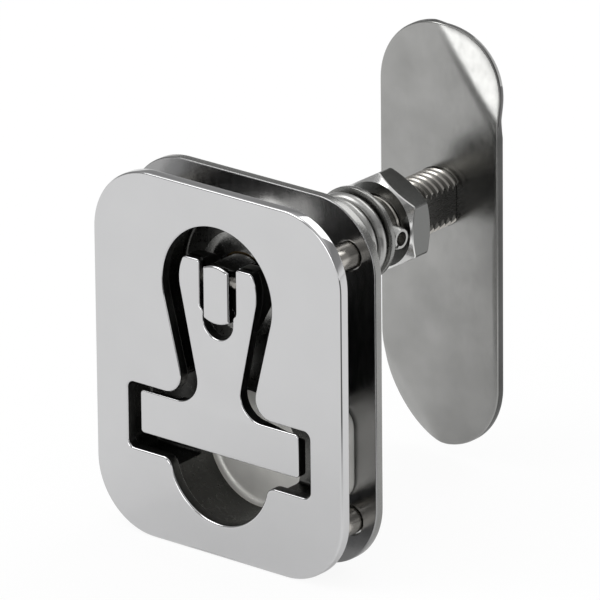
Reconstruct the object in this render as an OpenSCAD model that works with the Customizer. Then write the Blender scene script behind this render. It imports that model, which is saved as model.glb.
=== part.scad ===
// Lift-and-turn compression latch for a panel or hatch.
// A T-handle lies flush in a keyhole cut-out of a polished face plate. It pivots on a cross pin in the
// tongue of a threaded spindle, and the ears of its fork are cams that bear on a wear washer.
// Lifting the handle lets the spring push the spindle in and frees the latch arm, which then turns.
// X is to the right, Y runs into the compartment and Z is up. The origin is the centre of the stud
// pattern on the rear face of the back plate.

/* [Face plate] */
// Width of the face plate and the back plate
plate_w = 61; // [58:0.5:80]
// Height of the face plate and the back plate
plate_h = 75; // [72:0.5:100]
// Corner radius of both plates
plate_corner = 14; // [9:0.5:16]
// Thickness of the face plate
face_t = 2.5; // [2:0.1:4]
// Gap between the two plates, which takes the panel
panel_gap = 8; // [7:0.5:14]
// Thickness of the back plate
back_t = 2; // [1.5:0.1:4]

/* [Cut-out] */
// Height of the spindle axis above the middle of the plate
spindle_z = 16.5; // [15:0.5:18]
// Radius of the round eye of the cut-out, about the spindle axis
eye_r = 13.5; // [13:0.1:15]
// Half width of the cut-out at the bottom of its stem
stem_half = 8.1; // [7.5:0.1:9.5]
// Width of the slot round the handle's crossbar
slot_w = 45.2; // [44.4:0.2:47]
// Top edge of the slot, below the middle of the plate
slot_top = 6.4; // [5.8:0.1:6.6]
// Bottom edge of the slot, below the middle of the plate
slot_bottom = 20; // [19:0.1:21]
// Corner radius of the slot
slot_corner = 1.5; // [0.5:0.1:3]
// Rounding where the stem runs into the slot
stem_fillet = 4; // [2:0.1:5]
// Radius of the half-round finger pocket
finger_r = 12.2; // [9:0.1:13]
// Centre of the finger pocket, below the middle of the plate
finger_drop = 18.5; // [17:0.5:19]
// Rounding where the finger pocket meets the slot
finger_fillet = 2.2; // [1:0.1:3]

/* [Recess pan] */
// How far the pan's inner wall stands outside the cut-out
pan_margin = 2; // [1:0.1:2.4]
// Sheet thickness of the pan
pan_t = 1; // [0.8:0.1:1.2]
// How much wider the finger pocket is than its cut-out in the face plate
pocket_margin = 0.4; // [0.2:0.1:1]
// How far the finger pocket stands out behind the back plate
pocket_reach = 2; // [1:0.5:3]
// Clearance round the finger pocket in the back plate
pocket_gap = 0.4; // [0.2:0.1:0.8]

/* [Handle] */
// Thickness of the handle plate
handle_t = 2.4; // [2:0.1:2.6]
// How far the handle lies below the front of the face plate
handle_sink = 0.3; // [0.1:0.05:0.5]
// Radius of the handle's head, which carries the two ears
head_r = 9.6; // [9:0.1:10]
// Top edge of the ears above the cross pin
ear_rise = 3.6; // [3.2:0.1:3.8]
// Half width of the handle at the bottom of its stem
neck_half = 4.15; // [3.5:0.05:5]
// Rounding where the stem runs into the crossbar
neck_fillet = 5; // [3:0.1:6]
// Length of the crossbar
bar_l = 39.2; // [34:0.2:40]
// Height of the crossbar
bar_h = 8.9; // [7:0.1:10]
// Gap between the crossbar and the top edge of its slot
bar_gap = 1.2; // [1:0.1:1.6]
// Bevel on the upper back edge of the crossbar, which lets it swing out while it turns
bar_bevel = 1.8; // [1.6:0.1:1.9]
// Corner radius of the crossbar
bar_corner = 0.8; // [0.4:0.1:2]
// Width of the fork slot beside the tongue
fork_w = 9; // [8:0.2:10]
// Width of the narrow round end of the fork slot
fork_end_w = 7.4; // [7:0.1:7.8]
// How far the fork slot reaches below the spindle axis
fork_reach = 9.2; // [8:0.2:10]
// Thickness of a cam ear
ear_w = 3.7; // [2.5:0.1:3.8]

/* [Cams and pins] */
// Height of the cross pin above the spindle axis
pin_rise = 2.5; // [2:0.1:2.8]
// Diameter of the cross pin
pin_d = 3; // [2.5:0.1:3.4]
// Length of the cross pin
pin_l = 16; // [14:0.5:16.5]
// Spindle travel over the full lift of the handle
cam_travel = 2; // [1:0.1:2.4]
// Running gap between the cams and the wear washer
cam_gap = 0.05; // [0.03:0.01:0.1]
// Thickness of the wear washer
wear_t = 0.6; // [0.4:0.1:0.8]
// Outer radius of the wear washer and of the bush flange
wear_r = 10.5; // [10:0.1:12]
// Running clearance of the pins and shafts
running_gap = 0.05; // [0.02:0.01:0.09]

/* [Bush and seal] */
// Thickness of the flange of the guide bush
flange_t = 0.6; // [0.4:0.1:0.8]
// Outer radius of the guide bush
bush_r = 8.5; // [8.3:0.1:9]
// Thickness of the seal ring on the spindle
seal_d = 1.4; // [1:0.1:1.6]

/* [Spindle] */
// Thread diameter of the spindle
spindle_d = 12; // [11.6:0.1:12]
// Thickness of the flattened tongue in the fork
tongue_t = 6.2; // [5.5:0.1:6.8]
// How far the tongue stands out of the front of the handle
tongue_proud = 0.7; // [0:0.1:1]
// Distance across the flats of the threaded end
flats_w = 9; // [8:0.1:10]
// Length of the spindle behind the back plate
spindle_l = 66.5; // [66:0.5:90]
// Bevel on both ends of the spindle
end_bevel = 0.8; // [0.3:0.1:1.2]

/* [Spring and stop] */
// Outer diameter of the spring
spring_d = 18; // [17.8:0.1:19]
// Wire diameter of the spring
wire_d = 2.4; // [1.6:0.1:2.5]
// Number of turns of the spring
spring_turns = 10; // [6:1:10]
// Length of the spring with the handle flush
spring_l = 28.3; // [28:0.1:29]
// Outer diameter of the two spring washers
washer_d = 19; // [18:0.2:22]
// Thickness of the washer at the front end of the spring
seat_t = 1; // [0.6:0.1:1.4]
// Thickness of the washer at the back end of the spring
end_t = 1.2; // [0.8:0.1:1.4]
// Diameter of the roll pin that stops the spring
roll_d = 4.5; // [3.5:0.1:4.6]
// Wall of the roll pin
roll_wall = 0.8; // [0.5:0.1:1]
// Length of the roll pin
roll_l = 18; // [16:0.5:20]

/* [Nuts and arm] */
// Width across the flats of the two thin nuts
nut_w = 18; // [17:0.5:19]
// Thickness of the two thin nuts
nut_t = 6; // [5:0.2:7]
// Front face of the front nut behind the back plate
nut_y = 36.1; // [36:0.1:42]
// Front face of the latch arm behind the back plate
arm_y = 55.8; // [50:0.1:56]
// Thickness of the latch arm
arm_t = 2; // [1.5:0.1:3]
// Width of the latch arm
arm_w = 29.2; // [24:0.2:34]
// Length of the latch arm
arm_l = 88; // [80:1:100]
// Reach of the latch arm above the spindle axis
arm_top = 36; // [30:0.5:44]
// Angle of the bent lead-in corners
bend = 22; // [10:1:30]
// Direction of the bent corner, up from the horizontal
bend_dir = 38; // [25:1:50]
// Distance of the bend from the middle of the arm's round end
bend_at = 7.4; // [6:0.1:10]

/* [Studs] */
// Thread diameter of the mounting studs
stud_d = 5; // [4:0.5:5]
// Diameter of the plain shank of a stud
shank_d = 5.6; // [5.4:0.1:6.4]
// Clearance round a shank in the back plate
shank_gap = 0.2; // [0.1:0.05:0.4]
// Distance from a stud to the side of the plates
stud_side = 6.5; // [6:0.1:7.5]
// Distance from a stud to the top or bottom of the plates
stud_end = 10.5; // [10:0.1:11]
// Length of a stud behind the back plate
stud_l = 4; // [3:0.5:8]

/* [Hidden] */
$fn = 64;

polished = [0.80, 0.80, 0.82];
satin = [0.66, 0.66, 0.65];
turned = [0.72, 0.71, 0.68];
dark_rubber = [0.10, 0.10, 0.11];
bush_bronze = [0.62, 0.50, 0.30];

stud_w = plate_w - 2 * stud_side;
stud_h = plate_h - 2 * stud_end;

// Planes of the stack, from the back plate towards the front
back_front_y = -back_t;
face_rear_y = back_front_y - panel_gap;
face_front_y = face_rear_y - face_t;
floor_y = back_front_y - pan_t;
pocket_r = finger_r + pocket_margin;
flange_y = floor_y - flange_t;
wear_y = flange_y - wear_t;
handle_y = face_front_y + handle_sink;
handle_rear_y = handle_y + handle_t;

// Cam: the distance from the cross pin to the wear washer falls evenly with the lift angle
cam_low = ear_rise;
cam_high = cam_low + cam_travel;
cam_rate = cam_travel / 90;
cam_lead = cam_rate * 180 / PI;
cam_step = 6;
pin_y = wear_y - cam_gap - cam_high;
pin_z = spindle_z + pin_rise;
ear_top = pin_z + ear_rise;

// Levels of the handle
bar_top = slot_top + bar_gap;
bar_mid = bar_top + bar_h / 2;
fork_end_r = fork_end_w / 2;
fork_step = 3.5;
head_drop = 1;
head_z = pin_z - head_drop;

// Spindle
spindle_r = spindle_d / 2;
shoulder_gap = 0.2;
shoulder_y = wear_y + shoulder_gap;
spring_y = seat_t;
end_y = spring_y + spring_l;
roll_gap = 0.1;
roll_y = end_y + end_t + roll_gap + roll_d / 2;
flats_y = nut_y + nut_t / 2;
rear_nut_y = arm_y + arm_t;
sliding_gap = 0.1;
spring_clear = 0.6;
big = 200;
lap = 0.5;
kink = 0.03;

// Latch arm
arm_end_r = arm_w / 2;
arm_top_z = spindle_z + arm_top - arm_end_r;
arm_low_z = spindle_z + arm_top - arm_l + arm_end_r;
arm_mid_z = (arm_top_z + arm_low_z) / 2;
bend_steps = 4;
bend_run = 2.4;
step = bend / bend_steps;
function step_way(j) = [cos((j - 0.5) * step), sin((j - 0.5) * step)];
function sum_of(v, i = 0) = i < len(v) ? v[i] + sum_of(v, i + 1) : 0;

// A flat shape in X and Z, given thickness from y to y + t
module sheet(y, t) {
  translate([0, y + t, 0]) rotate([90, 0, 0]) linear_extrude(t) children();
}

// A profile in Y and Z, carried along X from x to x + l
module bar_along_x(x, l) {
  translate([x, 0, 0]) rotate([90, 0, 90]) linear_extrude(l) children();
}

// A profile of radius and length, turned about the spindle axis
module turned_about_spindle() {
  translate([0, 0, spindle_z]) rotate([-90, 0, 0]) rotate_extrude() children();
}

// A flat ring about the spindle axis
module ring(y, t, outer, inner) {
  turned_about_spindle() translate([inner, y]) square([outer - inner, t]);
}

// A rectangle with round corners about a centre
module round_box(w, h, r) {
  square([w - 2 * r, h], center = true);
  square([w, h - 2 * r], center = true);
  for (x = [-1, 1], z = [-1, 1])
    translate([x * (w / 2 - r), z * (h / 2 - r)]) circle(r);
}

// The web that rounds a corner at p between edges that leave it at angles a and b. It laps over both
// edges, and its arc cuts them at a slight angle.
module corner_web(p, a, b, r) {
  half = (b - a) / 2;
  run = r / tan(half);
  mid = p + r / sin(half) * [cos(a + half), sin(a + half)];
  difference() {
    polygon([p - lap / sin(half) * [cos(a + half), sin(a + half)],
      p + run * [cos(a), sin(a)] + lap * [sin(a), -cos(a)], mid,
      p + run * [cos(b), sin(b)] + lap * [-sin(b), cos(b)]]);
    translate(mid) circle(r + kink);
  }
}

// Angle on a circle of radius r about c where the line from p touches it, on the right-hand side
function touch_angle(c, r, p) = atan2(p[1] - c[1], p[0] - c[0]) + acos(r / norm(p - c));

// Stem with straight sides that run from just inside a round head to half width foot at level z,
// and on a little
module stem(c, r, foot, z) {
  a = touch_angle(c, r - kink, [foot, z]);
  touch = c + (r - kink) * [cos(a), sin(a)];
  low = foot - lap * (touch[0] - foot) / (touch[1] - z);
  polygon([touch, [low, z - lap], [-low, z - lap], [-touch[0], touch[1]]]);
}

// Eye, stem and slot of the keyhole with sharp inner corners, grown by g and cut through from y to y + t
module keyhole(g, y, t) {
  slot_h = slot_bottom - slot_top + 2 * g;
  sheet(y, t) translate([0, spindle_z]) circle(eye_r + g);
  sheet(y, t) stem([0, spindle_z], eye_r + g, stem_half + g, -slot_top + g);
  sheet(y, t) translate([0, -(slot_top + slot_bottom) / 2])
    round_box(slot_w + 2 * g, slot_h, slot_corner + g);
}

// Round of the finger pocket
module finger_round(r, y, t) {
  sheet(y, t) translate([0, -finger_drop]) circle(r);
}

// The webs that round the inner corners of the cut-out on the right-hand side
module stem_web(y, t) {
  corner = [stem_half, -slot_top];
  sheet(y, t) corner_web(corner, 0, touch_angle([0, spindle_z], eye_r, corner) + 90, stem_fillet);
}

module finger_web(y, t) {
  low = -slot_bottom - finger_fillet;
  reach = finger_r + finger_fillet;
  mid = [sqrt(reach * reach - pow(low + finger_drop, 2)), low];
  difference() {
    sheet(y, t) polygon([[0, lap - slot_bottom], [mid[0], lap - slot_bottom], mid, [0, -finger_drop]]);
    sheet(y - 1, t + 2) translate(mid) circle(finger_fillet + kink);
  }
}

// Outline of both plates
module plate_outline() {
  round_box(plate_w, plate_h, plate_corner);
}

module stud_places() {
  for (x = [-1, 1], z = [-1, 1]) translate([x * stud_w / 2, z * stud_h / 2]) children();
}

// Polished face plate with the keyhole cut-out
module face_plate() {
  color(polished) difference() {
    sheet(face_front_y, face_t) plate_outline();
    union() {
      keyhole(0, face_front_y - 1, face_t + 2);
      finger_round(finger_r, face_front_y - 1, face_t + 2);
    }
    for (m = [0, 1]) mirror([m, 0, 0]) {
      stem_web(face_front_y - 1, face_t + 2);
      finger_web(face_front_y - 1, face_t + 2);
    }
  }
}

// Drawn pan behind the cut-out, with a deeper finger pocket and the hole for the guide bush
module recess_pan() {
  color(satin) difference() {
    union() {
      keyhole(pan_margin + pan_t, face_rear_y, panel_gap);
      finger_round(pocket_r + pan_t, face_rear_y, pocket_reach - face_rear_y);
    }
    keyhole(pan_margin, face_rear_y - 1, floor_y - face_rear_y + 1);
    finger_round(pocket_r, face_rear_y - 1, pocket_reach - pan_t - face_rear_y + 1);
    ring(floor_y - 1, pan_t + 2, bush_r, 0);
  }
}

// Back plate that clamps the panel, with holes for the bush, the studs and the finger pocket
module back_plate() {
  color(polished) difference() {
    sheet(back_front_y, back_t) difference() {
      plate_outline();
      stud_places() circle(d = shank_d + 2 * shank_gap);
    }
    ring(back_front_y - 1, back_t + 2, bush_r, 0);
    finger_round(pocket_r + pan_t + pocket_gap, back_front_y - 1, back_t + 2);
  }
}

// Mounting stud on the back of the face plate: a plain shank through the panel and the back plate,
// then the thread, with a bevelled tip
module stud(x, z) {
  shank = -face_rear_y;
  length = shank + stud_l;
  tip = stud_d / 10;
  color(turned) translate([x * stud_w / 2, face_rear_y, z * stud_h / 2]) rotate([-90, 0, 0])
    rotate_extrude() polygon([[0, 0], [shank_d / 2, 0], [shank_d / 2, shank], [stud_d / 2, shank],
      [stud_d / 2, length - tip], [stud_d / 2 - tip, length], [0, length]]);
}

// Groove of the seal ring inside the bush
seal_r = spindle_r + running_gap + seal_d / 2;
groove_w = seal_d + 0.4;
groove_y = (floor_y - groove_w) / 2;

// Flanged bush that guides the spindle through the pan and the back plate
module guide_bush() {
  bore = spindle_r + running_gap;
  color(bush_bronze) difference() {
    union() {
      ring(flange_y, flange_t, wear_r, bore);
      ring(floor_y, -floor_y, bush_r, bore);
    }
    ring(groove_y, groove_w, seal_r + seal_d / 2 + 0.1, bore - 0.5);
  }
}

// Seal ring in the groove of the bush
module spindle_seal() {
  color(dark_rubber) turned_about_spindle()
    translate([seal_r, groove_y + groove_w / 2]) circle(d = seal_d);
}

// Hard washer that the cams run on
module wear_washer() {
  color(polished) ring(wear_y, wear_t, wear_r, spindle_r + 0.3);
}

// Washer between the back plate and the spring
module seat_washer() {
  color(satin) ring(0, seat_t, washer_d / 2, spindle_r + spring_clear);
}

// Washer at the back end of the spring, stopped by the roll pin
module end_washer() {
  color(polished) ring(end_y, end_t, washer_d / 2, spindle_r + sliding_gap);
}

// Coil spring: a round wire carried along a helix about the spindle axis
module compression_spring() {
  per_turn = 20;
  sides = 8;
  rings = spring_turns * per_turn;
  wire_r = wire_d / 2;
  coil_r = spring_d / 2 - wire_r;
  rise = (spring_l - wire_d) / rings;
  points = [for (i = [0 : rings], j = [0 : sides - 1])
    let (turn = i * 360 / per_turn, side = j * 360 / sides, r = coil_r + wire_r * cos(side))
    [r * cos(turn), spring_y + wire_r + i * rise + wire_r * sin(side), spindle_z + r * sin(turn)]];
  walls = [for (i = [0 : rings - 1], j = [0 : sides - 1])
    let (k = (j + 1) % sides)
    [i * sides + j, i * sides + k, (i + 1) * sides + k, (i + 1) * sides + j]];
  front = [for (j = [sides - 1 : -1 : 0]) j];
  back = [for (j = [0 : sides - 1]) rings * sides + j];
  color(satin) polyhedron(points, concat([front], walls, [back]), convexity = 10);
}

// Threaded spindle with a flat tongue in front and two flats along its back end
module spindle() {
  front = handle_y - tongue_proud;
  tall = spindle_d;
  color(turned) difference() {
    turned_about_spindle() polygon([[0, front], [spindle_r - end_bevel / 2, front],
      [spindle_r, front + end_bevel / 2], [spindle_r, spindle_l - end_bevel],
      [spindle_r - end_bevel, spindle_l], [0, spindle_l]]);
    for (m = [0, 1]) mirror([m, 0, 0]) {
      translate([tongue_t / 2, front - 1, spindle_z - tall])
        cube([tall, shoulder_y - front + 1, 2 * tall]);
      translate([flats_w / 2, flats_y, spindle_z - tall]) cube([tall, spindle_l, 2 * tall]);
    }
    translate([-tall, pin_y, pin_z]) rotate([0, 90, 0]) cylinder(d = pin_d, h = 2 * tall);
    translate([-tall, roll_y, spindle_z]) rotate([0, 90, 0]) cylinder(d = roll_d, h = 2 * tall);
  }
}

// Pin through the ears and the tongue, on which the handle pivots
module cross_pin() {
  color(polished) translate([-pin_l / 2, pin_y, pin_z]) rotate([0, 90, 0]) cylinder(d = pin_d, h = pin_l);
}

// Slotted roll pin through the spindle
module roll_pin() {
  slit = roll_wall;
  color(turned) translate([-roll_l / 2, roll_y, spindle_z]) difference() {
    rotate([0, 90, 0]) cylinder(d = roll_d, h = roll_l);
    translate([-1, 0, 0]) rotate([0, 90, 0]) cylinder(d = roll_d - 2 * roll_wall, h = roll_l + 2);
    translate([-1, 0, -slit / 2]) cube([roll_l + 2, roll_d, slit]);
  }
}

// Thin hexagon nut with bevelled corners on both faces
module thin_nut(y) {
  corner = nut_w / sqrt(3);
  land = 0.48 * nut_w;
  drop = (corner - land) * tan(30);
  color(satin) difference() {
    intersection() {
      translate([0, 0, spindle_z]) sheet(y, nut_t) rotate(30) circle(corner, $fn = 6);
      turned_about_spindle() polygon([[0, y], [land, y], [corner, y + drop],
        [corner, y + nut_t - drop], [land, y + nut_t], [0, y + nut_t]]);
    }
    ring(y - 1, nut_t + 2, spindle_r, 0);
  }
}

module front_nut() {
  thin_nut(nut_y);
}

module rear_nut() {
  thin_nut(rear_nut_y);
}

// Edge view of the arm across a bend: flat up to the bend, then turned back in small steps
module bent_strip() {
  front = [for (i = [0 : bend_steps]) [bend_at, 0] + bend_run / bend_steps
    * (i == 0 ? [0, 0] : [for (k = [0, 1]) sum_of([for (j = [1 : i]) step_way(j)[k]])])];
  rear = [for (i = [0 : bend_steps]) front[i] + arm_t * [-sin(i * step), cos(i * step)]];
  far = arm_w * [cos(bend), sin(bend)];
  polygon(concat([[-arm_l, 0]], front, [front[bend_steps] + far, rear[bend_steps] + far],
    [for (i = [bend_steps : -1 : 0]) rear[i]], [[-arm_l, arm_t]]));
}

// One half of the arm: its round end at level z, bent in direction way, and its side up to the middle
module arm_half(z, way) {
  intersection() {
    sheet(arm_y - arm_t, arm_w) union() {
      translate([0, z]) circle(arm_end_r);
      translate([0, (z + arm_mid_z) / 2]) square([arm_w, abs(z - arm_mid_z) + 2 * lap], center = true);
    }
    translate([0, arm_y, z]) rotate([0, -way, 0]) linear_extrude(2 * arm_l, center = true) bent_strip();
  }
}

// Flat arm with round ends and a flat-sided hole for the spindle. The two corners that lead as the
// arm swings home are bent back.
module latch_arm() {
  hole_w = flats_w + 2 * sliding_gap;
  color(satin) difference() {
    union() {
      arm_half(arm_top_z, bend_dir);
      arm_half(arm_low_z, 180 + bend_dir);
    }
    sheet(arm_y - 1, arm_t + 2) intersection() {
      translate([0, spindle_z]) circle(spindle_r + sliding_gap);
      translate([0, spindle_z]) square([hole_w, 2 * spindle_d], center = true);
    }
  }
}

// Outline of the handle: forked head, tapered stem and crossbar
module handle_outline() {
  head = [0, head_z];
  corner = [neck_half, -bar_top];
  side = touch_angle(head, head_r, corner) + 90;
  difference() {
    union() {
      intersection() {
        union() {
          translate(head) circle(head_r);
          stem(head, head_r, neck_half, -bar_top);
        }
        translate([-big / 2, ear_top - big]) square(big);
      }
      translate([0, -bar_mid]) round_box(bar_l, bar_h, bar_corner);
      for (m = [0, 1]) mirror([m, 0]) corner_web(corner, 0, side, neck_fillet);
    }
    translate([-fork_w / 2, spindle_z - fork_step]) square([fork_w, big]);
    translate([0, spindle_z - fork_reach + fork_end_r]) circle(fork_end_r);
    translate([-fork_end_r, spindle_z - fork_reach + fork_end_r]) square([fork_end_w, fork_reach]);
  }
}

// Side view of an ear about the cross pin: the cam curve runs from the flat back, at the bottom of
// the ear, round to its top edge
module ear_profile() {
  inside = handle_rear_y - handle_t / 2 - pin_y;
  rear = handle_rear_y - pin_y;
  cam = [for (a = [0 : cam_step : 90]) let (h = cam_high - cam_rate * a)
    [h * cos(a) + cam_lead * sin(a), h * sin(a) - cam_lead * cos(a)]];
  back_low = -cam_lead - cam_travel;
  translate([pin_y, pin_z]) polygon(concat(cam, [[inside, cam_low], [inside, back_low - cam_high],
    [rear, back_low - cam_high], [cam_high, back_low]]));
}

// T-handle: plate with crossbar, and two cam ears behind the fork. The upper back edge of the
// crossbar is bevelled on both sides of the stem.
module t_handle() {
  land_y = handle_rear_y - bar_bevel;
  bevel_x = neck_half + neck_fillet * 1.25;
  color(polished) difference() {
    union() {
      sheet(handle_y, handle_t) handle_outline();
      for (m = [0, 1]) mirror([m, 0, 0]) bar_along_x(fork_w / 2, ear_w) ear_profile();
    }
    for (m = [0, 1]) mirror([m, 0, 0]) bar_along_x(bevel_x, bar_l) polygon([
      [land_y - 1, 1 - bar_top], [handle_rear_y + 1, -bar_top - bar_bevel - 1],
      [handle_rear_y + 1, 1 - bar_top]]);
    translate([-pin_l, pin_y, pin_z]) rotate([0, 90, 0])
      cylinder(d = pin_d + 2 * running_gap, h = 2 * pin_l);
  }
}

face_plate();
recess_pan();
back_plate();
stud(-1, 1);  // stud_1
stud(1, 1);  // stud_2
stud(1, -1);  // stud_3
stud(-1, -1);  // stud_4
guide_bush();
spindle_seal();
wear_washer();
seat_washer();
compression_spring();
end_washer();
spindle();
cross_pin();
roll_pin();
front_nut();
rear_nut();
latch_arm();
t_handle();
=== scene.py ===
import bmesh
import bpy
import numpy as np
from mathutils import Matrix, Vector
from mathutils.geometry import tessellate_polygon


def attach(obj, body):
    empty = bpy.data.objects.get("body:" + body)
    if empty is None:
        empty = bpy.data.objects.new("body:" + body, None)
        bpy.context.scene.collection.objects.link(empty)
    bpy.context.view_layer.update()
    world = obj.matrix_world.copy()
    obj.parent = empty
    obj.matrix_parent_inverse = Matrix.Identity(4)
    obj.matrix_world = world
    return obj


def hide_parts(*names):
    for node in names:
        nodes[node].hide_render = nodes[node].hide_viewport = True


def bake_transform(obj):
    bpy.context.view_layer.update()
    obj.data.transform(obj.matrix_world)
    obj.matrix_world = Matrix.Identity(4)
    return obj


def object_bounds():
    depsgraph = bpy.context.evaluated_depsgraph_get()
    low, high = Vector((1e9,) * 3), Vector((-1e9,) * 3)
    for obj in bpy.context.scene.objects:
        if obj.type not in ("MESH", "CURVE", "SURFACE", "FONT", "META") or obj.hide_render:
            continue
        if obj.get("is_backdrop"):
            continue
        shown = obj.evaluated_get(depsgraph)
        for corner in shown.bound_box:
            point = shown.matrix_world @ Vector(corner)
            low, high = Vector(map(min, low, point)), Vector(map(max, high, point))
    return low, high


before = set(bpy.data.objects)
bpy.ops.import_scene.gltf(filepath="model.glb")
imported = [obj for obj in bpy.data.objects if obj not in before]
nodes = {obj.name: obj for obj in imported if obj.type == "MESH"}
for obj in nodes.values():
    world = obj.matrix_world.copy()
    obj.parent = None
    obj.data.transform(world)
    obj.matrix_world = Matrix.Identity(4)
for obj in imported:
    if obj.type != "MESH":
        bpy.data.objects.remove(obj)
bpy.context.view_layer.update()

# Face plate: stainless sheet cut to a rounded rectangle with a keyhole for the handle, then buffed to
# a mirror. Buffing rounds every edge a little, and the rounded edges catch the light.
face_front, face_rear, face_edge = -0.0125, -0.0100, 0.00045
spindle_height = 0.0165


def arc(centre, radius, start, stop, count):
    """Points centre + radius (cos a, sin a) for count even angles a, in degrees, from start to stop."""
    angle = np.radians(np.linspace(start, stop, count))
    return np.c_[centre[0] + radius * np.cos(angle), centre[1] + radius * np.sin(angle)]


def both_sides(right):
    """A closed loop from its right half, which runs from the top middle to the bottom middle."""
    return np.vstack([right, right[-2:0:-1] * [-1, 1]])


def plate_outline(grow):
    """Rounded rectangle 61 x 75 mm, grown outwards; its corner arcs keep their centres."""
    half_width, half_height, corner = 0.0305, 0.0375, 0.014
    x, z = half_width - corner, half_height - corner
    return both_sides(np.vstack([
        [[0, half_height + grow]],
        arc((x, z), corner + grow, 90, 0, 22),
        arc((x, -z), corner + grow, 0, -90, 22),
        [[0, -half_height - grow]],
    ]))


def touch_angle(centre, radius, point):
    """Angle on a circle where the line from a point below touches it on the right: the bearing of the
    point plus the arc cosine of radius over distance."""
    away = np.subtract(point, centre)
    return np.degrees(np.arctan2(away[1], away[0]) + np.arccos(radius / np.hypot(*away)))


def rounded_corner(corner, side, radius, count):
    """Arc that rounds the inner corner between an edge to the right and an edge at angle side. Its
    middle is radius / sin(half the angle) along the line that halves the corner."""
    half = side / 2
    way = np.array([np.cos(np.radians(half)), np.sin(np.radians(half))])
    middle = corner + radius / way[1] * way
    return arc(middle, radius, side + 90, 270, count)


finger_middle, finger_radius, finger_points = np.array([0, -0.0185]), 0.0122, 30


def keyhole(grow, finger_grow=None):
    """Outline of the cut-out, grown outwards: round eye, tapering stem, slot for the crossbar, and the
    half-round finger pocket, with arcs in all the inner corners. The pocket may grow by a step of its
    own."""
    eye, eye_radius = (0, spindle_height), 0.0135 + grow
    stem = np.array([0.0081 + grow, -0.0064 + grow])
    slot_end, slot_low, slot_corner = 0.0226 + grow, -0.0200 - grow, 0.0015 + grow
    pocket_radius = finger_radius + (grow if finger_grow is None else finger_grow)
    stem_round = max(0.0040 - grow, 0.0006)
    finger_round = max(0.0022 - grow, 0.0003)
    leave = touch_angle(eye, eye_radius, stem)
    web_height = slot_low - finger_round
    web_reach = np.sqrt((pocket_radius + finger_round) ** 2 - (web_height - finger_middle[1]) ** 2)
    web = np.array([web_reach, web_height])
    meet = np.degrees(np.arctan2(*(web - finger_middle)[::-1]))
    x = slot_end - slot_corner
    return both_sides(np.vstack([
        arc(eye, eye_radius, 90, leave, 40),
        rounded_corner(stem, leave + 90, stem_round, 16),
        arc((x, stem[1] - slot_corner), slot_corner, 90, 0, 10),
        arc((x, slot_low + slot_corner), slot_corner, 0, -90, 10),
        arc(web, finger_round, 90, meet + 180, 14),
        arc(finger_middle, pocket_radius, meet, -90, finger_points)[1:],
    ]))


def ring_faces(rows, count, start=0, flip=False):
    """Quads between each ring of count points and the next one, closed round the ring."""
    here = np.arange(count)
    on = np.roll(here, -1)
    base = start + count * np.arange(rows - 1)[:, None]
    quads = np.stack([base + here, base + on, base + count + on, base + count + here], axis=-1)
    return (quads[..., ::-1] if flip else quads).reshape(-1, 4).tolist()


def cap_faces(loops, places, towards):
    """Triangles that fill a flat face between an outer loop and the loops of its holes, whose points
    have the given places. They are turned so that their normals point towards +Y (1) or -Y (-1)."""
    flat = np.vstack(loops)
    place = np.concatenate(places)
    upright = [np.pad(loop, ((0, 0), (0, 1))).tolist() for loop in loops]
    corners = np.array(tessellate_polygon([list(map(Vector, loop)) for loop in upright]))
    a, b, c = np.moveaxis(flat[corners], 1, 0)
    area = (b - a)[:, 0] * (c - a)[:, 1] - (b - a)[:, 1] * (c - a)[:, 0]
    if area.sum() * towards > 0:
        corners = corners[:, ::-1]
    return place[corners].tolist()


def sheet(outline, holes, front, rear, edge):
    """Flat sheet between y = front and y = rear. Every outline is a function of its growth, and the
    edge rows run round a quarter circle, across the thickness and round a second quarter circle."""
    turn = np.radians(np.linspace(0, 90, 6))
    grow = np.r_[edge * (np.sin(turn) - 1), edge * (np.cos(turn) - 1)]
    depth = np.r_[front + edge * (1 - np.cos(turn)), rear - edge * (1 - np.sin(turn))]
    points, faces, first, last, front_places, rear_places = [], [], [], [], [], []
    total = 0
    for loop, sign in [(outline, 1)] + [(hole, -1) for hole in holes]:
        rows = [loop(sign * g) for g in grow]
        count = len(rows[0])
        points += [np.c_[row[:, 0], np.full(count, y), row[:, 1]] for row, y in zip(rows, depth)]
        faces += ring_faces(len(rows), count, total, flip=sign < 0)
        front_places.append(total + np.arange(count))
        rear_places.append(front_places[-1] + count * (len(rows) - 1))
        first.append(rows[0])
        last.append(rows[-1])
        total += count * len(rows)
    smooth = [True] * len(faces)
    faces += cap_faces(first, front_places, -1) + cap_faces(last, rear_places, 1)
    return np.vstack(points), faces, smooth + [False] * (len(faces) - len(smooth))


def build(name, points, faces, smooth, body, slot, replaced, finish):
    """A mesh piece that rides on a body in place of one CAD node, with its finish. A piece with no body
    is not attached to any."""
    mesh = bpy.data.meshes.new(name)
    mesh.from_pydata(np.asarray(points).tolist(), [], faces)
    mesh.polygons.foreach_set("use_smooth", smooth)
    mesh.materials.append(finish)
    piece = bpy.data.objects.new(name, mesh)
    bpy.context.scene.collection.objects.link(piece)
    if body:
        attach(piece, body)
    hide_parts(replaced)
    return piece


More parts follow.
